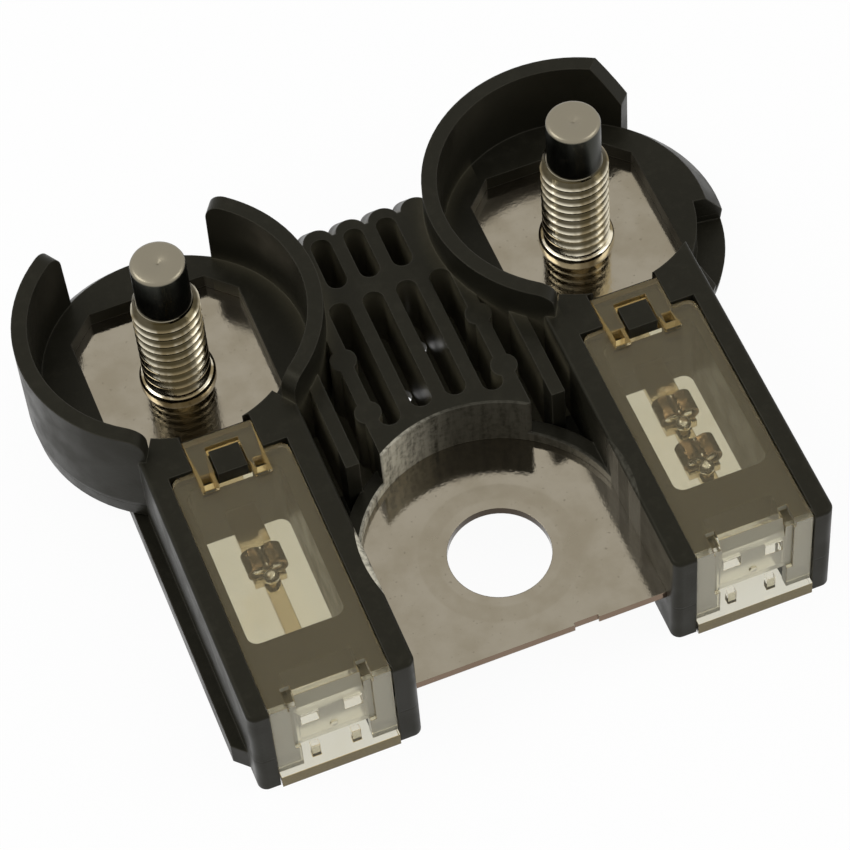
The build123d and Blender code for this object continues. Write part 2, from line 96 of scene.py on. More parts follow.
class Ramp(NamedTuple):
    """A smooth step: the range that it reads, and its results at both ends."""

    low: float
    high: float
    start: float = 0.0
    end: float = 1.0


class Mottle(NamedTuple):
    """The look of a noise: its scale per metre, its octaves, and how strong the fine ones are."""

    scale: float
    detail: float = 4.0
    roughness: float = 0.5


def mount_point(name: str) -> Vector:
    """Return the place of one of the record's mounts in the row frame, in metres."""
    places = {mount["name"]: mount["pos_m"] for mount in frame["record"]["mounts"]}
    return Vector(places[name])


@dataclass
class Graph:
    """A small helper that adds and joins the nodes of one shader tree."""

    # How far each node is laid out from the one before it.
    STEP = (40.0, -30.0)
    # The colour sockets of a Mix node: its factor, both colours, and its result.
    MIX_INPUTS = (0, 6, 7)
    MIX_RESULT = 2

    tree: NodeTree
    count: int = 0

    def add(self, kind: str, inputs: dict[int | str, object] | None = None,
            **settings: object) -> Node:
        """Add a node, set its plain properties and feed its inputs.

        Args:
            kind: Blender's node type.
            inputs: What its inputs get, by number or name.
            settings: Properties of the node by name.

        Returns:
            The new node.
        """
        node = self.tree.nodes.new(kind)
        node.location = Vector(self.STEP) * self.count
        self.count += 1
        for key, value in settings.items():
            setattr(node, key, value)
        for key, value in (inputs or {}).items():
            self.feed(node.inputs[key], value)
        return node

    def feed(self, socket: NodeSocket, value: object) -> None:
        """Join a socket to another one, or set its own value.

        Args:
            socket: The input socket.
            value: An output socket to link, or a plain value.
        """
        if isinstance(value, NodeSocket):
            self.tree.links.new(value, socket)
        else:
            socket.default_value = value

    def math(self, operation: str, first: object, second: object = 0.0,
             clamp: bool = False) -> NodeSocket:
        """Add a Math node.

        Args:
            operation: The Math node's operation.
            first: The first input, a socket or a number.
            second: The second input, a socket or a number.
            clamp: Whether the result is held between 0 and 1.

        Returns:
            The node's output.
        """
        node = self.add("ShaderNodeMath", {0: first, 1: second}, operation=operation,
                        use_clamp=clamp)
        return node.outputs[0]

    def span(self, value: object, low: float, high: float, start: float = 0.0,
             end: float = 1.0) -> NodeSocket:
        """Map a range of a value smoothly on to another range.

        Args:
            value: The value to map.
            low: Where the range starts.
            high: Where the range ends.
            start: The result at low.
            end: The result at high.

        Returns:
            The mapped value.
        """
        inputs = dict(enumerate((value, low, high, start, end)))
        node = self.add("ShaderNodeMapRange", inputs, interpolation_type="SMOOTHSTEP")
        return node.outputs[0]

    def blend(self, factor: object, first: object, second: object) -> NodeSocket:
        """Mix two colours.

        Args:
            factor: The share of the second colour.
            first: The first colour, RGBA or a socket.
            second: The second colour, RGBA or a socket.

        Returns:
            The mixed colour.
        """
        inputs = dict(zip(self.MIX_INPUTS, (factor, first, second)))
        return self.add("ShaderNodeMix", inputs, data_type="RGBA").outputs[self.MIX_RESULT]

    def noise(self, vector: object, scale: object, detail: float,
              roughness: float) -> NodeSocket:
        """Add a noise texture.

        Args:
            vector: Where the noise is read.
            scale: Its scale, per metre.
            detail: Its octaves.
            roughness: How strong the fine octaves are.

        Returns:
            The noise value, from 0 to 1.
        """
        inputs = {"Vector": vector, "Scale": scale, "Detail": detail, "Roughness": roughness}
        return self.add("ShaderNodeTexNoise", inputs).outputs["Fac"]

    def stretch(self, vector: object, share: float) -> NodeSocket:
        """Return a vector scaled along Z, where a share under 1 draws out what reads it."""
        inputs = {"Vector": vector, "Scale": (1.0, 1.0, share)}
        return self.add("ShaderNodeMapping", inputs).outputs[0]

    def split(self, vector: object) -> dict[str, NodeSocket]:
        """Return the components of a vector, by the names X, Y and Z."""
        return dict(self.add("ShaderNodeSeparateXYZ", {0: vector}).outputs.items())

    def use(self, group: NodeTree, **values: object) -> dict[str, NodeSocket]:
        """Place a node group in a material.

        Args:
            group: The node group.
            values: Its inputs by name.

        Returns:
            Its outputs by name.
        """
        return dict(self.add("ShaderNodeGroup", values, node_tree=group).outputs.items())

    def times(self, first: object, second: object) -> NodeSocket:
        """Return a product, which for two masks is where both hold."""
        return self.math("MULTIPLY", first, second)

    def above(self, value: object, limit: float) -> NodeSocket:
        """Return 1 where a value is more than a limit, and 0 elsewhere."""
        return self.math("GREATER_THAN", value, limit)

    def below(self, value: object, limit: float) -> NodeSocket:
        """Return 1 where a value is less than a limit, and 0 elsewhere."""
        return self.math("LESS_THAN", value, limit)

    def apart(self, value: object, middle: float) -> NodeSocket:
        """Return how far a value is from a middle one."""
        return self.math("ABSOLUTE", self.math("SUBTRACT", value, middle))

    def length(self, first: object, second: object) -> NodeSocket:
        """Return the length of the step that two components make."""
        square = self.math("ADD", self.math("POWER", first, 2.0), self.math("POWER", second, 2.0))
        return self.math("SQRT", square)

    def radius(self, place: dict[str, NodeSocket]) -> NodeSocket:
        """Return the distance in plan from the bus hole's axis."""
        return self.length(place["X"], place["Y"])

    def seen(self) -> NodeSocket:
        """Return 1 for rays of the camera, of mirrors and of glass, and 0 for soft light."""
        path = self.add("ShaderNodeLightPath")
        sharp = self.math("ADD", path.outputs["Is Camera Ray"], path.outputs["Is Glossy Ray"])
        return self.math("ADD", sharp, path.outputs["Is Transmission Ray"], clamp=True)

    def place(self) -> NodeSocket:
        """Return the point's place in the object, which is the row frame in metres."""
        return self.add("ShaderNodeTexCoord").outputs["Object"]

    def normal(self) -> NodeSocket:
        """Return the surface's own normal."""
        return self.add("ShaderNodeNewGeometry").outputs["Normal"]


def fresh_graph(owner: Material | World) -> Graph:
    """Give a material or world an empty node tree.

    Args:
        owner: The material or the world.

    Returns:
        The tree's graph.
    """
    owner.use_nodes = True
    owner.node_tree.nodes.clear()
    return Graph(owner.node_tree)


class SocketKind(Enum):
    """What a node group's socket carries."""

    VALUE = "NodeSocketFloat"
    VECTOR = "NodeSocketVector"


def new_group(name: str, inputs: dict[str, float],
              outputs: dict[str, SocketKind]) -> tuple[NodeTree, Graph, Node, Node]:
    """Start a shader node group.

    Args:
        name: The group's name.
        inputs: Its inputs, which carry values, with their defaults.
        outputs: Its outputs and what they carry.

    Returns:
        The group, its graph, and its input and output nodes.
    """
    group = bpy.data.node_groups.new(name, "ShaderNodeTree")
    for key, default in inputs.items():
        socket = group.interface.new_socket(key, in_out="INPUT",
                                            socket_type=SocketKind.VALUE.value)
        socket.default_value = default
    for key, kind in outputs.items():
        group.interface.new_socket(key, in_out="OUTPUT", socket_type=kind.value)
    graph = Graph(group)
    return group, graph, graph.add("NodeGroupInput"), graph.add("NodeGroupOutput")


class Effects:
    """The shader node groups that more than one finish uses.

    Each pair of octaves says how many a noise has, and how strong the fine ones are.
    """

    BEVEL_SAMPLES = 4
    FINE_OCTAVES = (3.0, 0.6)
    BROAD_OCTAVES = (4.0, 0.55)
    BROAD_HEIGHT = 1.5
    BLOTCH_OCTAVES = (6.0, 0.7)
    STREAK_OCTAVES = (5.0, 0.6)
    STREAK_STRETCH = 0.15
    SCUFF_LEVEL = 0.85
    SCUFF_DROP = 0.6
    SPECK_OCTAVES = (5.0, 0.75)
    SPECK_RAMP = Ramp(0.45, 0.75)
    UPWARD_RAMP = Ramp(0.3, 1.0, 0.25, 1.0)

    def __init__(self) -> None:
        """Build every group once."""
        self.wear = self._edge_wear()
        self.grain = self._surface_grain()
        self.scuffs = self._scuffs()
        self.dust = self._settled_dust()

    def _edge_wear(self) -> NodeTree:
        """Build the group that rounds edges and finds them, where they are rubbed and where the
        housing paints a highlight.

        Returns:
            The group, with outputs Normal and Mask.
        """
        group, graph, entry, leave = new_group(
            "edge_wear",
            {"Radius": 0.2 * MM, "Sharpness": 4.0},
            {"Normal": SocketKind.VECTOR, "Mask": SocketKind.VALUE},
        )
        bevel = graph.add("ShaderNodeBevel", {"Radius": entry.outputs["Radius"]},
                          samples=self.BEVEL_SAMPLES)
        dot = graph.add("ShaderNodeVectorMath", {0: bevel.outputs[0], 1: graph.normal()},
                        operation="DOT_PRODUCT")
        turn = graph.math("SUBTRACT", 1.0, dot.outputs["Value"])
        mask = graph.math("MULTIPLY", turn, entry.outputs["Sharpness"], clamp=True)
        graph.feed(leave.inputs["Normal"], bevel.outputs[0])
        graph.feed(leave.inputs["Mask"], mask)
        return group

    def _surface_grain(self) -> NodeTree:
        """Build the group of fine mould or plating grain.

        Returns:
            The group, with outputs Height and Patch.
        """
        group, graph, entry, leave = new_group(
            "surface_grain",
            {"Fine": 6000.0, "Broad": 300.0},
            {"Height": SocketKind.VALUE, "Patch": SocketKind.VALUE},
        )
        place = graph.place()
        fine = graph.noise(place, entry.outputs["Fine"], *self.FINE_OCTAVES)
        broad = graph.noise(place, entry.outputs["Broad"], *self.BROAD_OCTAVES)
        height = graph.math("ADD", fine, graph.times(broad, self.BROAD_HEIGHT))
        graph.feed(leave.inputs["Height"], height)
        graph.feed(leave.inputs["Patch"], broad)
        return group

    def _scuffs(self) -> NodeTree:
        """Build the group of blotches and rubbed streaks, which the collar also uses for a painted
        sheen.

        Returns:
            The group, with output Mask.
        """
        group, graph, entry, leave = new_group(
            "scuffs", {"Scale": 400.0, "Coverage": 0.5, "Softness": 0.14},
            {"Mask": SocketKind.VALUE},
        )
        place, scale = graph.place(), entry.outputs["Scale"]
        blotch = graph.noise(place, scale, *self.BLOTCH_OCTAVES)
        drawn = graph.stretch(place, self.STREAK_STRETCH)
        streak = graph.noise(drawn, scale, *self.STREAK_OCTAVES)
        both = graph.times(graph.math("ADD", blotch, streak), 0.5)
        drop = graph.times(entry.outputs["Coverage"], self.SCUFF_DROP)
        floor = graph.math("SUBTRACT", self.SCUFF_LEVEL, drop)
        top = graph.math("ADD", floor, entry.outputs["Softness"])
        graph.feed(leave.inputs["Mask"], graph.span(both, floor, top))
        return group

    def _settled_dust(self) -> NodeTree:
        """Build the group of dust that lies on what faces up.

        Returns:
            The group, with output Mask.
        """
        group, graph, entry, leave = new_group(
            "settled_dust", {"Scale": 900.0, "Amount": 0.3}, {"Mask": SocketKind.VALUE})
        upward = graph.span(graph.split(graph.normal())["Z"], *self.UPWARD_RAMP)
        speck = graph.noise(graph.place(), entry.outputs["Scale"], *self.SPECK_OCTAVES)
        mask = graph.times(graph.span(speck, *self.SPECK_RAMP), upward)
        graph.feed(leave.inputs["Mask"], graph.times(mask, entry.outputs["Amount"]))
        return group


@dataclass(frozen=True)
class Finish:
    """The parts that every finish shares."""

    name: str
    colour: Colour
    roughness: float

    def start(self) -> tuple[Material, Graph, Node]:
        """Make the material with its Principled shader.

        Returns:
            The material, its graph and its shader node.
        """
        material = bpy.data.materials.new(self.name)
        graph = fresh_graph(material)
        shader = graph.add("ShaderNodeBsdfPrincipled",
                           {"Base Color": self.colour, "Roughness": self.roughness})
        graph.add("ShaderNodeOutputMaterial", {"Surface": shader.outputs[0]})
        return material, graph, shader


@dataclass(frozen=True)
class GrainedFinish(Finish):
    """A finish with a grain, whose roughness varies over broad patches."""

    PATCH_RANGE = (0.3, 0.7)

    smoother: float = 0.0
    rougher: float = 0.08
    grain_depth: float = 0.01 * MM

    def patchy(self, graph: Graph, patch: NodeSocket) -> NodeSocket:
        """Return the roughness, varied over the broad patches of the grain."""
        return graph.span(patch, *self.PATCH_RANGE, self.roughness - self.smoother,
                          self.roughness + self.rougher)

    def bump(self, graph: Graph, shader: Node, height: object,
             normal: object | None = None) -> None:
        """Join a bump to the shader's normal.

        Args:
            graph: The material's graph.
            shader: The Principled shader.
            height: The height socket, in shares of the grain's depth.
            normal: The normal that the bump starts from.
        """
        node = graph.add("ShaderNodeBump", {"Strength": 1.0, "Distance": self.grain_depth,
                                            "Height": height})
        if normal is not None:
            graph.feed(node.inputs["Normal"], normal)
        graph.feed(shader.inputs["Normal"], node.outputs[0])


@dataclass(frozen=True)
class MouldedPlastic(GrainedFinish):
    """Black satin plastic: fine grain, rubbed edges lightened further as a painted highlight,
    a parting line, dust on top, and painted light lifting the floors of the slots.

    The wall of the collar round the bus hole is smooth, and carries scuffs whose bright colour
    also paints a sheen, strongest on its left.
    """

    smoother: float = 0.06
    rougher: float = 0.1
    gloss: float = 0.13
    gloss_tint: Colour = (0.95, 0.9, 0.7, 1.0)
    dust_colour: Colour = (0.05, 0.046, 0.033, 1.0)
    # Rubbed edges, in a colour light enough to paint a highlight on them too.
    worn_edge_highlight: Colour = (0.075, 0.07, 0.056, 1.0)
    worn_edge_highlight_share: float = 0.85
    # Scuffs on the collar wall, whose bright colour also paints a sheen; they fade out towards the
    # right.
    scuff_and_sheen_colour: Colour = (0.66, 0.62, 0.5, 1.0)
    scuff_and_sheen_share: float = 0.95
    scuff_and_sheen_fade: Ramp = Ramp(1.0 * MM, -8.0 * MM, 0.06, 1.0)
    # Painted light: a lighter colour lifts the enclosed slot floors of the web, which little light
    # reaches.
    slot_painted_light: Colour = (0.12, 0.108, 0.07, 1.0)
    slot_depth: float = 3.0 * MM
    slot_light_ramp: Ramp = Ramp(0.15, 0.75, 1.0, 0.0)
    slot_samples: int = 6
    web_half_width: float = 12.6 * MM
    collar_radius: float = 11.4 * MM
    collar_band: float = 0.25 * MM
    collar_polish: float = 0.22
    parting_height: float = -0.9 * MM
    parting_groove: Ramp = Ramp(0.0, 0.07 * MM, 4.0, 0.0)

    def build(self, effects: Effects) -> Material:
        """Make the material.

        Args:
            effects: The shared node groups.

        Returns:
            The finished material.
        """
        material, graph, shader = self.start()
        graph.feed(shader.inputs["Specular IOR Level"], self.gloss)
        graph.feed(shader.inputs["Specular Tint"], self.gloss_tint)
        wear = graph.use(effects.wear, Radius=0.18 * MM, Sharpness=3.0)
        grain = graph.use(effects.grain, Fine=5500.0, Broad=350.0)
        dust = graph.use(effects.dust, Scale=700.0, Amount=0.16)
        scuff = graph.use(effects.scuffs, Scale=1800.0, Coverage=0.9, Softness=0.3)
        place = graph.split(graph.place())
        off_wall = graph.apart(graph.radius(place), self.collar_radius)
        collar = graph.below(off_wall, self.collar_band)
        # Scuffs and painted sheen on the collar wall, strongest on its left.
        leftward = graph.span(place["X"], *self.scuff_and_sheen_fade)
        scuff_and_sheen_marks = graph.times(graph.times(collar, scuff["Mask"]), leftward)
        # Rubbed edges, lightened also as a painted highlight.
        rubbed = graph.times(wear["Mask"], self.worn_edge_highlight_share)
        worn = graph.blend(rubbed, self.colour, self.worn_edge_highlight)
        dusty = graph.blend(dust["Mask"], worn, self.dust_colour)
        # Painted light: where the AO finds the web's slots enclosed, their floors take a lighter
        # colour.
        open_sky = graph.add("ShaderNodeAmbientOcclusion", {"Distance": self.slot_depth},
                             samples=self.slot_samples)
        closed = graph.span(open_sky.outputs["AO"], *self.slot_light_ramp)
        aside = graph.math("ABSOLUTE", place["X"])
        web = graph.times(graph.below(aside, self.web_half_width),
                          graph.above(place["Y"], self.collar_radius))
        slots_lit = graph.blend(graph.times(closed, web), dusty, self.slot_painted_light)
        scuffed_and_sheened = graph.blend(graph.times(scuff_and_sheen_marks, self.scuff_and_sheen_share), slots_lit, self.scuff_and_sheen_colour)
        graph.feed(shader.inputs["Base Color"], scuffed_and_sheened)
        polish = graph.times(collar, self.collar_polish)
        rough = graph.math("SUBTRACT", self.patchy(graph, grain["Patch"]), polish)
        graph.feed(shader.inputs["Roughness"], rough)
        off_line = graph.apart(place["Z"], self.parting_height)
        groove = graph.span(off_line, *self.parting_groove)
        height = graph.math("SUBTRACT", grain["Height"], groove)
        self.bump(graph, shader, height, wear["Normal"])
        return material


@dataclass(frozen=True)
class PlatedBar(GrainedFinish):
    """Tin plating over copper: soft stains, fine specks, and a burnished ring round the hole.

    The sheared front edge shows dull copper, and the links and their claws are browned.
    """

    grain_depth: float = 0.006 * MM
    tarnish: Colour = (0.27, 0.235, 0.172, 1.0)
    stain_ramp: Ramp = Ramp(0.35, 0.7)
    speck: Colour = (0.13, 0.11, 0.075, 1.0)
    speck_noise: Mottle = Mottle(2400.0, 2.0)
    speck_ramp: Ramp = Ramp(0.66, 0.74, 0.0, 0.45)
    copper: Colour = (0.15, 0.085, 0.05, 1.0)
    copper_share: float = 0.8
    bore: Colour = (0.05, 0.036, 0.024, 1.0)
    bore_radius: float = 4.45 * MM
    bore_facing: float = 0.5
    ring_inner: float = 5.1 * MM
    ring_outer: float = 6.9 * MM
    ring_core: float = 0.7
    ring_noise: Mottle = Mottle(900.0)
    ring_roughness: float = 0.12
    scuff_roughness: float = 0.06
    link_colour: Colour = (0.62, 0.52, 0.35, 1.0)
    link_side: float = 13.5 * MM
    link_back: float = 13.0 * MM
    claw_colour: Colour = (0.26, 0.17, 0.095, 1.0)
    claw_foot: float = 0.06 * MM
    claw_noise: Mottle = Mottle(1300.0, 3.0)
    claw_height: float = 32.0
    flux: Colour = (0.05, 0.032, 0.016, 1.0)
    flux_noise: Mottle = Mottle(1100.0)
    flux_ramp: Ramp = Ramp(0.38, 0.54)
    edge_front: float = -6.0 * MM
    edge_facing: float = -0.7

    def build(self, effects: Effects) -> Material:
        """Make the material.

        Args:
            effects: The shared node groups.

        Returns:
            The finished material.
        """
        material, graph, shader = self.start()
        graph.feed(shader.inputs["Metallic"], 1.0)
        grain = graph.use(effects.grain, Fine=3500.0, Broad=220.0)
        scuff = graph.use(effects.scuffs, Scale=500.0, Coverage=0.45)
        wear = graph.use(effects.wear, Radius=0.12 * MM, Sharpness=2.5)
        spot = graph.place()
        place, normal = graph.split(spot), graph.split(graph.normal())
        radius = graph.radius(place)
        middle = (self.ring_inner + self.ring_outer) / 2
        half = (self.ring_outer - self.ring_inner) / 2
        ring = graph.span(graph.apart(radius, middle), self.ring_core * half, half, 1.0, 0.0)
        cut = graph.times(graph.below(normal["Y"], self.edge_facing),
                          graph.below(place["Y"], self.edge_front))
        stain = graph.span(grain["Patch"], *self.stain_ramp)
        specks = graph.span(graph.noise(spot, *self.speck_noise), *self.speck_ramp)
        plate = graph.blend(specks, graph.blend(stain, self.colour, self.tarnish), self.speck)
        arms = graph.above(graph.math("ABSOLUTE", place["X"]), self.link_side)
        link = graph.times(arms, graph.below(place["Y"], self.link_back))
        crumbs = graph.span(graph.noise(spot, *self.flux_noise), *self.flux_ramp)
        claw = graph.blend(crumbs, self.claw_colour, self.flux)
        raised = graph.above(place["Z"], self.claw_foot)
        links = graph.blend(link, plate, graph.blend(raised, self.link_colour, claw))
        rubbed = graph.times(ring, graph.noise(spot, *self.ring_noise))
        ringed = graph.blend(rubbed, links, self.tarnish)
        sheared = graph.blend(graph.times(cut, self.copper_share), ringed, self.copper)
        wall = graph.times(graph.below(radius, self.bore_radius),
                           graph.below(normal["Z"], self.bore_facing))
        graph.feed(shader.inputs["Base Color"], graph.blend(wall, sheared, self.bore))
        worn = graph.times(scuff["Mask"], self.scuff_roughness)
        brushed = graph.times(ring, self.ring_roughness)
        rough = graph.math("ADD", self.patchy(graph, grain["Patch"]),
                           graph.math("ADD", worn, brushed))
        graph.feed(shader.inputs["Roughness"], rough)
        dents = graph.times(graph.times(link, raised), graph.noise(spot, *self.claw_noise))
        height = graph.math("ADD", grain["Height"], graph.times(dents, self.claw_height))
        self.bump(graph, shader, height, wear["Normal"])
        return material


@dataclass(frozen=True)
class PlatedStud(GrainedFinish):
    """Bright nickel thread, with painted reflection streaks, painted shade in its dark golden
    roots, and a painted golden reflection on the flanks that face down.

    The pilot end has a dark coat, and is bare on top.
    """

    grain_depth: float = 0.008 * MM
    # Painted reflection: dark golden streaks, drawn out along the stud.
    shade: Colour = (0.24, 0.19, 0.105, 1.0)
    shade_ramp: Ramp = Ramp(0.42, 0.6)
    streak_noise: Mottle = Mottle(420.0, 3.0)
    streak_stretch: float = 0.07
    # Painted shade: the thread darkens towards its roots.
    root: Colour = (0.045, 0.036, 0.017, 1.0)
    root_shade_ramp: Ramp = Ramp(2.7 * MM, 3.0 * MM, 0.95, 0.0)
    # Painted reflection: the flanks that face down take a bright golden colour.
    under_reflection: Colour = (0.95, 0.84, 0.58, 1.0)
    under_reflection_ramp: Ramp = Ramp(0.05, 0.4)
    coat: Colour = (0.042, 0.043, 0.036, 1.0)
    coat_roughness: float = 0.18
    bare: Colour = (0.24, 0.215, 0.16, 1.0)
    bare_share: float = 0.25
    pilot_foot: float = 10.75 * MM
    pilot_end: Ramp = Ramp(0.2, 0.6)

    def build(self, effects: Effects) -> Material:
        """Make the material.

        Args:
            effects: The shared node groups.

        Returns:
            The finished material.
        """
        material, graph, shader = self.start()
        graph.feed(shader.inputs["Metallic"], 1.0)
        grain = graph.use(effects.grain, Fine=5000.0, Broad=600.0)
        scuff = graph.use(effects.scuffs, Scale=900.0, Coverage=0.5)
        spot = graph.place()
        place, normal = graph.split(spot), graph.split(graph.normal())
        pilot = graph.above(place["Z"], self.pilot_foot)
        end = graph.span(normal["Z"], *self.pilot_end)
        # Painted reflection streaks.
        streak = graph.noise(graph.stretch(spot, self.streak_stretch), *self.streak_noise)
        patch = graph.span(streak, *self.shade_ramp)
        # Painted shade in the roots, by distance from the stud's axis.
        axis = mount_point("stud_right")
        off_x = graph.math("SUBTRACT", graph.math("ABSOLUTE", place["X"]), axis.x)
        reach = graph.length(off_x, graph.math("SUBTRACT", place["Y"], axis.y))
        root_shade = graph.span(reach, *self.root_shade_ramp)
        lit = graph.blend(root_shade, graph.blend(patch, self.colour, self.shade), self.root)
        # Painted golden reflection on the thread's down-facing flanks.
        down = graph.span(graph.times(normal["Z"], -1.0), *self.under_reflection_ramp)
        thread = graph.above(place["Z"], 0.0)
        plated = graph.blend(graph.times(down, thread), lit, self.under_reflection)
        rubbed = graph.times(scuff["Mask"], self.bare_share)
        coated = graph.blend(end, graph.blend(rubbed, self.coat, self.bare), self.bare)
        graph.feed(shader.inputs["Base Color"], graph.blend(pilot, plated, coated))
        rough = graph.math("ADD", self.patchy(graph, grain["Patch"]),
                           graph.times(pilot, self.coat_roughness))
        graph.feed(shader.inputs["Roughness"], rough)
        self.bump(graph, shader, grain["Height"])
        return material


@dataclass(frozen=True)
class CastTin(GrainedFinish):
    """Dull lumpy tin with brown flux in its hollows."""

    rougher: float = 0.35
    grain_depth: float = 0.03 * MM
    metallic: float = 0.9
    flux: Colour = (0.25, 0.17, 0.09, 1.0)
    flux_ramp: Ramp = Ramp(0.54, 0.72)

    def build(self, effects: Effects) -> Material:
        """Make the material.

        Args:
            effects: The shared node groups.

        Returns:
            The finished material.
        """
        material, graph, shader = self.start()
        graph.feed(shader.inputs["Metallic"], self.metallic)
        grain = graph.use(effects.grain, Fine=2500.0, Broad=900.0)
        patch = graph.span(grain["Patch"], *self.flux_ramp)
        graph.feed(shader.inputs["Base Color"], graph.blend(patch, self.colour, self.flux))
        graph.feed(shader.inputs["Roughness"], self.patchy(graph, grain["Patch"]))
        self.bump(graph, shader, grain["Height"])
        return material


@dataclass(frozen=True)
class ClearPlastic(Finish):
    """Smoky see-through plastic, with faint milky clouds in it."""

    transmission: float = 0.96
    index: float = 1.45
    tint: Colour = (0.92, 0.73, 0.38, 1.0)
    haze: Colour = (0.68, 0.63, 0.49, 1.0)
    haze_ramp: Ramp = Ramp(0.45, 0.8, 0.0, 0.5)

    def build(self, effects: Effects) -> Material:
        """Make the material.

        Args:
            effects: The shared node groups.

        Returns:
            The finished material.
        """
        material, graph, shader = self.start()
        graph.feed(shader.inputs["Transmission Weight"], self.transmission)
        graph.feed(shader.inputs["IOR"], self.index)
        graph.feed(shader.inputs["Specular Tint"], self.tint)
        grain = graph.use(effects.grain, Fine=900.0, Broad=260.0)
        cloud = graph.span(grain["Patch"], *self.haze_ramp)
        graph.feed(shader.inputs["Base Color"], graph.blend(cloud, self.colour, self.haze))
        return material


@dataclass(frozen=True)
class Lathe:
    """A closed turned shape about a vertical axis, from pairs of radius and height."""

    outline: list[tuple[float, float]]
    steps: int

    def add_to(self, mesh: BMesh, centre: Vector) -> None:
        """Add the turned shape to a mesh.

        Args:
            mesh: The mesh to add to.
            centre: The axis's place in plan.
        """
        rings = []
        for radius, height in self.outline[1:-1]:
            ring = []
            for step in range(self.steps):
                turn = 2 * math.pi * step / self.steps
                ring.append(mesh.verts.new((centre.x + radius * math.cos(turn),
                                            centre.y + radius * math.sin(turn), height)))
            rings.append(ring)
        foot = mesh.verts.new((centre.x, centre.y, self.outline[0][1]))
        head = mesh.verts.new((centre.x, centre.y, self.outline[-1][1]))
        for step in range(self.steps):
            after = (step + 1) % self.steps
            mesh.faces.new((foot, rings[0][after], rings[0][step]))
            for low, high in zip(rings, rings[1:]):
                mesh.faces.new((low[step], low[after], high[after], high[step]))
            mesh.faces.new((rings[-1][step], rings[-1][after], head))


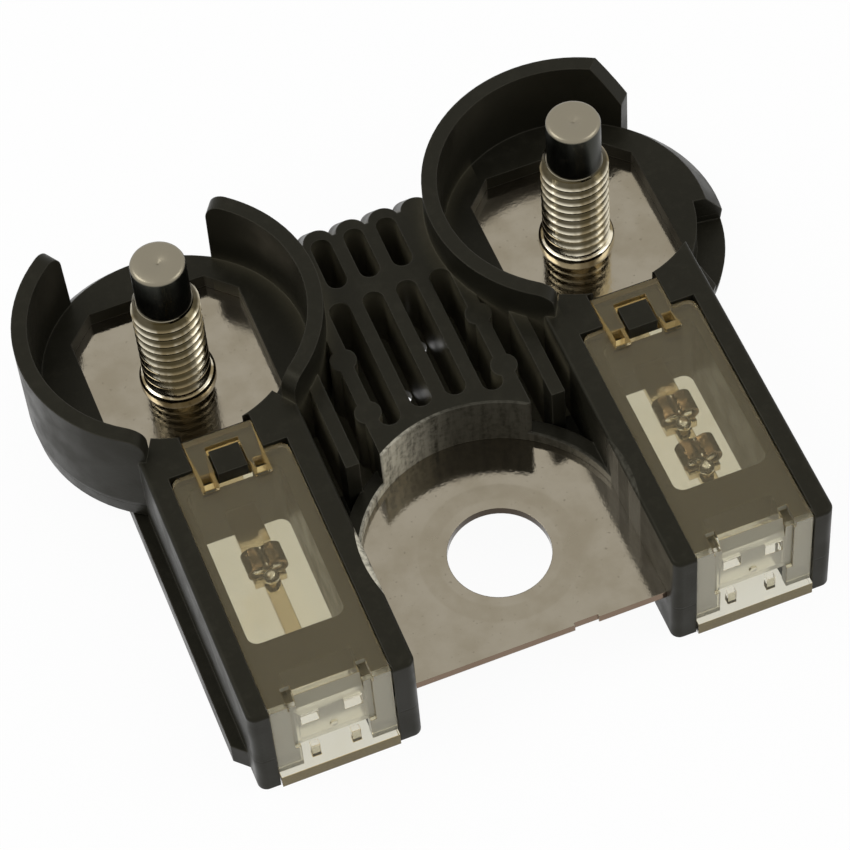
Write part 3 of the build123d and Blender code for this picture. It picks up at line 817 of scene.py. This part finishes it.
@dataclass
class ThreadedStud:
    """One terminal stud: head, press collar, helical thread and plain pilot end."""

    # Each point of the collar's rounded rim: its inset in eased edges, its share of the height.
    COLLAR_RIM = ((0.0, 0.45), (0.3, 0.75), (1.0, 0.92), (2.0, 1.0))
    # Each point of the pilot's rounded rim: its inset and its drop.
    DOG_RIM = ((0.0, 0.35 * MM), (0.1 * MM, 0.12 * MM), (0.34 * MM, 0.0))
    # Each point of the thread's section: its share of the pitch, its share of the depth.
    THREAD = ((0.0, 0.0), (0.06, 0.1), (0.36, 0.86), (0.44, 1.0), (0.56, 1.0),
              (0.64, 0.86), (0.94, 0.1))
    SPARE_TURNS = 3

    side: str
    finish: Material
    pitch: float = 1.0 * MM
    crest_radius: float = 2.95 * MM
    root_radius: float = 2.4 * MM
    neck_inset: float = 0.1 * MM
    overlap: float = 0.05 * MM
    runout: float = 0.55 * MM
    dog_radius: float = 2.35 * MM
    dog_length: float = 5.0 * MM
    collar_radius: float = 3.32 * MM
    collar_height: float = 0.7 * MM
    head_height: float = 2.0 * MM
    head_ease: float = 0.3 * MM
    edge: float = 0.12 * MM
    dimple_radius: float = 0.35 * MM
    dimple_depth: float = 0.18 * MM
    dimple_floor: float = 0.3
    smooth_angle: float = 40.0
    level: float = 1e-7
    steps: int = 64

    def build(self) -> Object:
        """Build the stud in place of its plain solid.

        Returns:
            The stud's object.
        """
        node = f"stud_{self.side}"
        low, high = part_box(node)
        centre = mount_point(node)
        mesh = bmesh.new()
        self._core(mesh, centre, low, high)
        self._thread(mesh, centre, high.z - self.dog_length)
        bmesh.ops.recalc_face_normals(mesh, faces=mesh.faces)
        piece = finish_mesh(mesh, f"threaded_stud_{self.side}", self.finish, self.smooth_angle)
        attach(piece, BODY)
        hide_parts(node)
        return piece

    def _core(self, mesh: BMesh, centre: Vector, low: Vector, high: Vector) -> None:
        """Turn the head, the shank, the collar and the pilot end.

        Args:
            mesh: The mesh to add to.
            centre: The stud's axis in plan.
            low: The solid's lowest corner.
            high: The solid's highest corner.
        """
        head, shank, edge = (high.x - low.x) / 2, self.crest_radius, self.edge
        seat = low.z + self.head_height
        neck = self.root_radius - self.neck_inset
        shoulder = high.z - self.dog_length - self.overlap
        pit = high.z - self.dimple_depth
        Lathe([
            (0.0, low.z), (head - self.head_ease, low.z), (head, low.z + self.head_ease),
            (head, seat - edge), (head - edge, seat), (shank, seat), (shank, 0.0),
            (self.collar_radius, 0.0),
            *((self.collar_radius - inset * edge, share * self.collar_height)
              for inset, share in self.COLLAR_RIM),
            (neck, self.collar_height + self.neck_inset), (neck, shoulder),
            (self.dog_radius, shoulder),
            *((self.dog_radius - inset, high.z - drop) for inset, drop in self.DOG_RIM),
            (self.dimple_radius, high.z), (self.dimple_floor * self.dimple_radius, pit),
            (0.0, pit),
        ], self.steps).add_to(mesh, centre)

    def _thread(self, mesh: BMesh, centre: Vector, top: float) -> None:
        """Sweep the thread's section up the stud, and cut it level at both ends.

        Args:
            mesh: The mesh to add to.
            centre: The stud's axis in plan.
            top: The height of the thread's upper end.
        """
        depth = self.crest_radius - self.root_radius
        bottom = self.collar_height - self.overlap
        turns = int((top - bottom) / self.pitch) + self.SPARE_TURNS
        start = bottom - self.pitch
        part = bmesh.new()
        rows = []
        for step in range(turns * self.steps + 1):
            angle = 2 * math.pi * step / self.steps
            row = []
            for along, share in self.THREAD:
                height = start + self.pitch * (step / self.steps + along)
                limit = self.crest_radius - max(0.0, height - (top - self.runout))
                radius = max(self.root_radius - self.overlap,
                             min(self.root_radius + depth * share, limit))
                row.append(part.verts.new((centre.x + radius * math.cos(angle),
                                           centre.y + radius * math.sin(angle), height)))
            rows.append(row)
        last = len(self.THREAD) - 1
        for step in range(turns * self.steps):
            for item in range(last):
                part.faces.new((rows[step][item], rows[step + 1][item],
                                rows[step + 1][item + 1], rows[step][item + 1]))
            ahead = step + self.steps
            if ahead + 1 < len(rows):
                part.faces.new((rows[step][last], rows[step + 1][last],
                                rows[ahead + 1][0], rows[ahead][0]))
        for height, side in ((bottom, -1), (top, 1)):
            geometry = part.verts[:] + part.edges[:] + part.faces[:]
            bmesh.ops.bisect_plane(part, geom=geometry, plane_co=(0, 0, height),
                                   plane_no=(0, 0, side), clear_outer=True)
            rim = [edge for edge in part.edges if edge.is_boundary
                   and all(abs(vert.co.z - height) < self.level for vert in edge.verts)]
            bmesh.ops.contextual_create(part, geom=rim)
        append_mesh(mesh, part)


def append_mesh(target: BMesh, source: BMesh) -> None:
    """Copy one mesh into another and free it.

    Args:
        target: The mesh to add to.
        source: The mesh to copy.
    """
    data = bpy.data.meshes.new("scrap")
    source.to_mesh(data)
    source.free()
    target.from_mesh(data)
    bpy.data.meshes.remove(data)


def finish_mesh(mesh: BMesh, name: str, material: Material | None,
                smooth_angle: float = 30.0) -> Object:
    """Turn a mesh into a shaded object in the scene.

    Args:
        mesh: The mesh, which is freed.
        name: The object's name.
        material: Its material.
        smooth_angle: Edges sharper than this, in degrees, stay crisp.

    Returns:
        The new object.
    """
    limit = math.radians(smooth_angle)
    for face in mesh.faces:
        face.smooth = True
    for edge in mesh.edges:
        edge.smooth = len(edge.link_faces) == 2 and edge.calc_face_angle(0.0) < limit
    data = bpy.data.meshes.new(name)
    mesh.to_mesh(data)
    mesh.free()
    piece = bpy.data.objects.new(name, data)
    bpy.context.scene.collection.objects.link(piece)
    if material is not None:
        data.materials.append(material)
    return piece


@dataclass
class TinPellet:
    """The tin of one claw, as it was cast: a slug with bulging ends and a bead in front."""

    # The fractal dimension, the gap between octaves, and the octaves of its uneven surface.
    LUMP_NOISE = (0.8, 2.0, 3)

    node: str
    finish: Material
    lobe_offset: float = 0.8 * MM
    lobe_radius: float = 0.63 * MM
    lobe_power: float = 0.55
    end_half: float = 0.3 * MM
    end_power: float = 0.8
    uneven: float = 0.1
    lump_scale: float = 1.6
    lump_spread: float = 400.0
    smooth_angle: float = 60.0
    segments: tuple[int, int] = (36, 20)

    def build(self) -> Object:
        """Build the tin in place of its plain solid.

        Returns:
            The tin's object.
        """
        low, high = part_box(self.node)
        bead = (high.z - low.z) / 2
        centre = (low + high) / 2
        slug_front = low.y + 2 * bead
        slug_half = (high.y - slug_front) / 2
        slug_y = (high.y + slug_front) / 2
        mesh = bmesh.new()
        lobe = Vector((self.lobe_radius, slug_half, self.lobe_radius))
        for side in (-1, 1):
            spot = Vector((centre.x + side * self.lobe_offset, slug_y, centre.z))
            self._lump(mesh, spot, lobe, self.lobe_power)
        bulge = Vector((high.x - centre.x, self.end_half, self.lobe_radius))
        for end in (slug_front + self.end_half, high.y - self.end_half):
            self._lump(mesh, Vector((centre.x, end, centre.z)), bulge, self.end_power)
        front = Vector((centre.x, low.y + bead, centre.z))
        self._lump(mesh, front, Vector((bead, bead, bead)), 1.0)
        piece = finish_mesh(mesh, f"cast_{self.node}", self.finish, self.smooth_angle)
        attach(piece, BODY)
        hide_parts(self.node)
        return piece

    def _lump(self, mesh: BMesh, centre: Vector, half: Vector, power: float) -> None:
        """Add one uneven lump.

        Args:
            mesh: The mesh to add to.
            centre: The lump's middle.
            half: Its half size each way.
            power: 1 for an ellipsoid, less for a squarer lump.
        """
        around, rings = self.segments
        turns = [math.pi * ring / rings for ring in range(rings + 1)]
        ball = bmesh.new()
        Lathe([(math.sin(turn), -math.cos(turn)) for turn in turns], around).add_to(ball, Vector())
        for vert in ball.verts:
            unit = Vector(tuple(math.copysign(abs(axis) ** power, axis) for axis in vert.co))
            where = unit * self.lump_scale + centre * self.lump_spread
            lump = noise.fractal(where, *self.LUMP_NOISE)
            reach = 1.0 - self.uneven * min(1.0, max(0.0, 0.5 + 0.5 * lump))
            spot = Vector(tuple(a * b for a, b in zip(unit, half)))
            vert.co = centre + spot * reach
        append_mesh(mesh, ball)


class CoverFace(Enum):
    """What a face of a clear moulding is, by the place of its material on the piece."""

    CLEAR = 0
    AMBER = 1
    FROSTED = 2
    BROWN = 3


@dataclass
class ClearCover:
    """One see-through moulding, with eased edges and a finish for each kind of face."""

    node: str
    finishes: dict[CoverFace, Material]
    weld: float = 0.001 * MM
    seat_gap: float = 0.02 * MM
    steepest: float = 2.0
    edge_radius: float = 0.11 * MM
    sharp_angle: float = 30.0
    flat_angle: float = 2.0
    smooth_angle: float = 50.0
    tab_length: float = 4.6 * MM
    small_face: float = 2.4 * MM * MM
    cut_facing: float = 0.5
    lip_length: float = 0.4 * MM
    lip_facing: float = -0.7
    front_depth: float = 2.2 * MM
    front_facing: float = -0.3

    def build(self) -> Object:
        """Build the cover in place of its plain solid.

        Returns:
            The cover's object.
        """
        mesh = bmesh.new()
        mesh.from_mesh(frame["nodes"][self.node].data)
        bmesh.ops.remove_doubles(mesh, verts=mesh.verts, dist=self.weld)
        bmesh.ops.dissolve_limit(mesh, angle_limit=math.radians(self.flat_angle),
                                 verts=mesh.verts, edges=mesh.edges)
        mesh.normal_update()
        steps = [vert.normal * min(vert.calc_shell_factor(), self.steepest) for vert in mesh.verts]
        for vert, step in zip(mesh.verts, steps):
            vert.co -= step * self.seat_gap
        for face in mesh.faces:
            face.material_index = self._kind(face).value
        limit = math.radians(self.sharp_angle)
        sharp = [edge for edge in mesh.edges
                 if len(edge.link_faces) == 2 and edge.calc_face_angle(0.0) > limit]
        bmesh.ops.bevel(mesh, geom=sharp, offset=self.edge_radius, offset_type="OFFSET",
                        segments=2, profile=0.5, affect="EDGES", clamp_overlap=True,
                        material=CoverFace.AMBER.value)
        piece = finish_mesh(mesh, f"clear_{self.node}", None, self.smooth_angle)
        for kind in CoverFace:
            piece.data.materials.append(self.finishes[kind])
        piece.modifiers.new("even_faces", "WEIGHTED_NORMAL").keep_sharp = True
        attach(piece, BODY)
        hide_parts(self.node)
        return piece

    def _kind(self, face: BMFace) -> CoverFace:
        """Tell what finish a face takes.

        Args:
            face: The face to look at.

        Returns:
            Amber for the latch tab's sides and small faces, brown for a base window's front
            edge, frosted for the front wall and its tongue, and clear for the rest.
        """
        low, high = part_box(self.node)
        centre = face.calc_center_median()
        if self.node.startswith("base_"):
            front_edge = face.normal.y < self.lip_facing and centre.y < low.y + self.lip_length
            return CoverFace.BROWN if front_edge else CoverFace.CLEAR
        if centre.y > high.y - self.tab_length:
            cut = abs(face.normal.z) < self.cut_facing or face.calc_area() < self.small_face
            return CoverFace.AMBER if cut else CoverFace.CLEAR
        front_wall = centre.y < low.y + self.front_depth
        frosted = face.normal.y < self.front_facing and front_wall
        return CoverFace.FROSTED if frosted else CoverFace.CLEAR


@dataclass
class FuseBlock:
    """The whole object: the frame's solids with their finishes, and the pieces made here."""

    SLOT_FINISHES = {
        Slot.HOUSING: MouldedPlastic("moulded_black", (0.0125, 0.0117, 0.008, 1.0), 0.36),
        Slot.BAR: PlatedBar("tin_plate", (0.32, 0.285, 0.22, 1.0), 0.05),
        Slot.STUD: PlatedStud("bright_nickel", (0.86, 0.79, 0.62, 1.0), 0.1),
        Slot.TIN: CastTin("cast_tin", (0.98, 0.95, 0.86, 1.0), 0.05),
        Slot.COVER: ClearPlastic("smoky_clear", (0.73, 0.7, 0.585, 1.0), 0.0),
    }
    FACE_FINISHES = {
        CoverFace.AMBER: ClearPlastic("amber_edge", (0.64, 0.45, 0.17, 1.0), 0.1,
                                      transmission=0.74, haze=(0.55, 0.34, 0.1, 1.0)),
        CoverFace.FROSTED: ClearPlastic("frosted_front", (0.81, 0.785, 0.635, 1.0), 0.18,
                                        transmission=0.7, haze=(0.77, 0.72, 0.55, 1.0)),
        CoverFace.BROWN: ClearPlastic("brown_edge", (0.26, 0.2, 0.075, 1.0), 0.15,
                                      transmission=0.5, haze=(0.2, 0.15, 0.05, 1.0)),
    }

    effects: Effects

    def build(self) -> None:
        """Dress every solid and build every piece."""
        slots = {slot: look.build(self.effects) for slot, look in self.SLOT_FINISHES.items()}
        faces = {kind: look.build(self.effects) for kind, look in self.FACE_FINISHES.items()}
        faces[CoverFace.CLEAR] = slots[Slot.COVER]
        self._dress(slots)
        pieces = [ThreadedStud(side, slots[Slot.STUD]).build() for side in SIDES]
        for node in sorted(frame["nodes"]):
            if node.startswith("tin_"):
                pieces.append(TinPellet(node, slots[Slot.TIN]).build())
            elif "window" in node:
                pieces.append(ClearCover(node, faces).build())
        for piece in pieces:
            LOG.info("built %s with %d faces", piece.name, len(piece.data.polygons))

    @staticmethod
    def _dress(materials: dict[Slot, Material]) -> None:
        """Give each solid of the frame the finish of its slot.

        Args:
            materials: The materials by slot.
        """
        for entry in frame["record"]["subparts"]:
            node = frame["nodes"][entry["node"]]
            material = materials[Slot(entry["material_slot"])]
            node.data.materials.clear()
            node.data.materials.append(material)
            LOG.info("dressed %s in %s", node.name, material.name)


@dataclass(frozen=True)
class ShotCamera:
    """The camera at the photograph's angle, in the row frame."""

    azimuth: float = 16.939
    elevation: float = 55.191
    roll: float = -5.412
    distance: float = 302.717 * MM
    aim: tuple[float, float, float] = (-0.999 * MM, 14.323 * MM, 0.0)
    lens: float = 151.763
    sensor: float = 36.0
    clip: tuple[float, float] = (0.01, 10.0)

    def build(self) -> None:
        """Place the camera and make it the scene's own."""
        turn, lift = math.radians(self.azimuth), math.radians(self.elevation)
        back = Vector((-math.sin(turn) * math.cos(lift), -math.cos(turn) * math.cos(lift),
                       math.sin(lift)))
        right = Vector((math.cos(turn), -math.sin(turn), 0.0))
        up = back.cross(right)
        basis = Matrix((right, up, back)).transposed()
        look = basis.to_quaternion() @ Quaternion((0.0, 0.0, 1.0), math.radians(self.roll))
        data = bpy.data.cameras.new("shot")
        data.lens = self.lens
        data.sensor_width = self.sensor
        data.clip_start, data.clip_end = self.clip
        camera = bpy.data.objects.new("shot", data)
        camera.rotation_mode = "QUATERNION"
        camera.rotation_quaternion = look
        camera.location = Vector(self.aim) + back * self.distance
        bpy.context.scene.collection.objects.link(camera)
        bpy.context.scene.camera = camera


@dataclass(frozen=True)
class SoftBox:
    """One square lamp of the studio, aimed at the object."""

    name: str
    place: tuple[float, float, float]
    size: float
    power: float

    def build(self, target: Vector) -> None:
        """Hang the lamp.

        Args:
            target: The point that it faces.
        """
        data = bpy.data.lights.new(self.name, "AREA")
        data.shape = "SQUARE"
        data.size = self.size
        data.energy = self.power
        lamp = bpy.data.objects.new(self.name, data)
        lamp.location = Vector(self.place)
        aim = (target - lamp.location).normalized()
        lamp.rotation_euler = aim.to_track_quat("-Z", "Y").to_euler()
        bpy.context.scene.collection.objects.link(lamp)


@dataclass(frozen=True)
class Studio:
    """A plain white sweep, soft lamps and a white sky."""

    floor_size: float = 3.0
    floor_colour: Colour = (0.95, 0.95, 0.95, 1.0)
    floor_glow: float = 0.95
    sky: float = 0.6
    lamps: tuple[SoftBox, ...] = (
        SoftBox("key", (-0.3, 0.14, 0.36), 0.25, 0.6),
        SoftBox("fill", (0.3, -0.12, 0.3), 0.22, 0.3),
    )

    def build(self) -> None:
        """Set up the floor, the sky and the lamps."""
        low, high = CAD_BOX
        self._floor(low.z)
        self._world()
        for lamp in self.lamps:
            lamp.build((low + high) / 2)
        bpy.context.scene.view_settings.view_transform = "Standard"

    def _world(self) -> None:
        """Light the scene softly, and show white where the sky is seen or mirrored."""
        world = bpy.data.worlds.new("studio")
        bpy.context.scene.world = world
        graph = fresh_graph(world)
        strength = graph.span(graph.seen(), 0.0, 1.0, self.sky, 1.0)
        sky = graph.add("ShaderNodeBackground", {"Color": WHITE, "Strength": strength})
        graph.add("ShaderNodeOutputWorld", {"Surface": sky.outputs[0]})

    def _floor(self, height: float) -> None:
        """Lay the white floor, which keeps the object's shadow.

        Args:
            height: The floor's height.
        """
        mesh = bmesh.new()
        bmesh.ops.create_grid(mesh, x_segments=1, y_segments=1, size=self.floor_size / 2)
        bmesh.ops.translate(mesh, verts=mesh.verts, vec=(0.0, 0.0, height))
        material = bpy.data.materials.new("sweep")
        graph = fresh_graph(material)
        matt = graph.add("ShaderNodeBsdfDiffuse", {"Color": self.floor_colour})
        glow = graph.add("ShaderNodeEmission")
        shown = graph.times(graph.seen(), self.floor_glow)
        mix = graph.add("ShaderNodeMixShader", {0: shown, 1: matt.outputs[0], 2: glow.outputs[0]})
        graph.add("ShaderNodeOutputMaterial", {"Surface": mix.outputs[0]})
        floor = finish_mesh(mesh, "floor", material)


def main() -> None:
    """Build the camera, the studio and the object, in that order."""
    ShotCamera().build()
    Studio().build()
    FuseBlock(Effects()).build()


if __name__ == "__main__":
    main()
